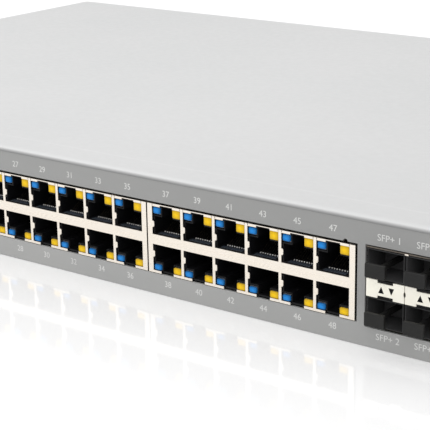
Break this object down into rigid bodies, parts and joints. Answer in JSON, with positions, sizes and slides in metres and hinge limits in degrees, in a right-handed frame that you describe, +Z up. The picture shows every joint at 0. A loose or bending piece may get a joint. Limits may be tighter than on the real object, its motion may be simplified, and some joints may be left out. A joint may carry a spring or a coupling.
{
  "type": "rackmount network switch",
  "caption": "Flat rack-mounted network switch, one rack unit high, with two rows of copper ports, capped optical ports, rack ears, rear fans and a power inlet.",
  "frame": {"origin": "middle of the body's footprint, on the underside of the base pan", "axes": "+X to the right when facing the ports, +Y from the front to the rear, +Z up"},
  "size_m": [0.4826, 0.3035, 0.0437],
  "materials": {
    "cover_paint": "fine satin light grey powder coat",
    "panel_paint": "satin mid grey paint",
    "bare_steel": "galvanised steel sheet",
    "shield_metal": "bright tin-plated sheet",
    "screw_steel": "nickel-plated",
    "jack_plastic": "moulded black",
    "plug_plastic": "soft dark grey",
    "light_pipe": "clear light pipe, lit blue or yellow at its window",
    "white_plastic": "warm white moulded",
    "board": "green solder mask",
    "chip": "moulded epoxy",
    "aluminium": "sawn and anodised",
    "ferrite": "ferrite and tape",
    "capacitor_sleeve": "shrunk sleeve",
    "wire": "insulated wire",
    "fan_plastic": "glass-filled black"
  },
  "bodies": {
    "chassis": {"base_pan": "bare_steel", "top_cover": "cover_paint", "front_panel": "panel_paint", "rear_panel": "cover_paint", "rack_ear_left": "panel_paint", "rack_ear_right": "panel_paint", "ear_screw_left_1": "screw_steel", "ear_screw_left_2": "screw_steel", "ear_screw_left_3": "screw_steel", "ear_screw_left_4": "screw_steel", "cover_screw_left_1": "screw_steel", "cover_screw_left_2": "screw_steel", "ear_screw_right_1": "screw_steel", "ear_screw_right_2": "screw_steel", "ear_screw_right_3": "screw_steel", "ear_screw_right_4": "screw_steel", "cover_screw_right_1": "screw_steel", "cover_screw_right_2": "screw_steel", "rear_screw_1": "screw_steel", "rear_screw_2": "screw_steel", "rear_screw_3": "screw_steel", "ground_screw": "screw_steel", "jack_shield_1": "shield_metal", "jack_housing_1": "jack_plastic", "light_pipes_1": "light_pipe", "jack_shield_2": "shield_metal", "jack_housing_2": "jack_plastic", "light_pipes_2": "light_pipe", "jack_shield_3": "shield_metal", "jack_housing_3": "jack_plastic", "light_pipes_3": "light_pipe", "jack_shield_4": "shield_metal", "jack_housing_4": "jack_plastic", "light_pipes_4": "light_pipe", "sfp_cage": "bare_steel", "sfp_light_bar": "white_plastic", "status_lens": "light_pipe", "main_board": "board", "switch_chip": "chip", "switch_heat_sink": "aluminium", "phy_chip_1": "chip", "phy_chip_2": "chip", "phy_chip_3": "chip", "phy_chip_4": "chip", "power_supply_board": "board", "power_transformer": "ferrite", "bulk_capacitor": "capacitor_sleeve", "dc_harness": "wire", "power_inlet": "jack_plastic", "fan_frame_1": "fan_plastic", "fan_frame_2": "fan_plastic"},
    "dust_plug_1": {"dust_plug_1": "plug_plastic"},
    "dust_plug_2": {"dust_plug_2": "plug_plastic"},
    "dust_plug_3": {"dust_plug_3": "plug_plastic"},
    "dust_plug_4": {"dust_plug_4": "plug_plastic"},
    "fan_rotor_1": {"fan_rotor_1": "fan_plastic"},
    "fan_rotor_2": {"fan_rotor_2": "fan_plastic"},
    "reset_button": {"reset_button": "jack_plastic"}
  },
  "joints": [
    {"name": "dust_plug_1_pull", "type": "slide", "parent": "chassis", "child": "dust_plug_1", "axis": [0, -1, 0], "range_m": [0, 0.03]},
    {"name": "dust_plug_2_pull", "type": "slide", "parent": "chassis", "child": "dust_plug_2", "axis": [0, -1, 0], "range_m": [0, 0.03]},
    {"name": "dust_plug_3_pull", "type": "slide", "parent": "chassis", "child": "dust_plug_3", "axis": [0, -1, 0], "range_m": [0, 0.03]},
    {"name": "dust_plug_4_pull", "type": "slide", "parent": "chassis", "child": "dust_plug_4", "axis": [0, -1, 0], "range_m": [0, 0.03]},
    {"name": "fan_1_spin", "type": "hinge", "parent": "chassis", "child": "fan_rotor_1", "pos_m": [-0.15, 0.1355, 0.0216], "axis": [0, 1, 0], "continuous": true},
    {"name": "fan_2_spin", "type": "hinge", "parent": "chassis", "child": "fan_rotor_2", "pos_m": [-0.095, 0.1355, 0.0216], "axis": [0, 1, 0], "continuous": true},
    {"name": "reset_press", "type": "slide", "parent": "chassis", "child": "reset_button", "axis": [0, 1, 0], "range_m": [0, 0.0008], "stiffness_N_per_m": 400, "springref_m": -0.001}
  ]
}
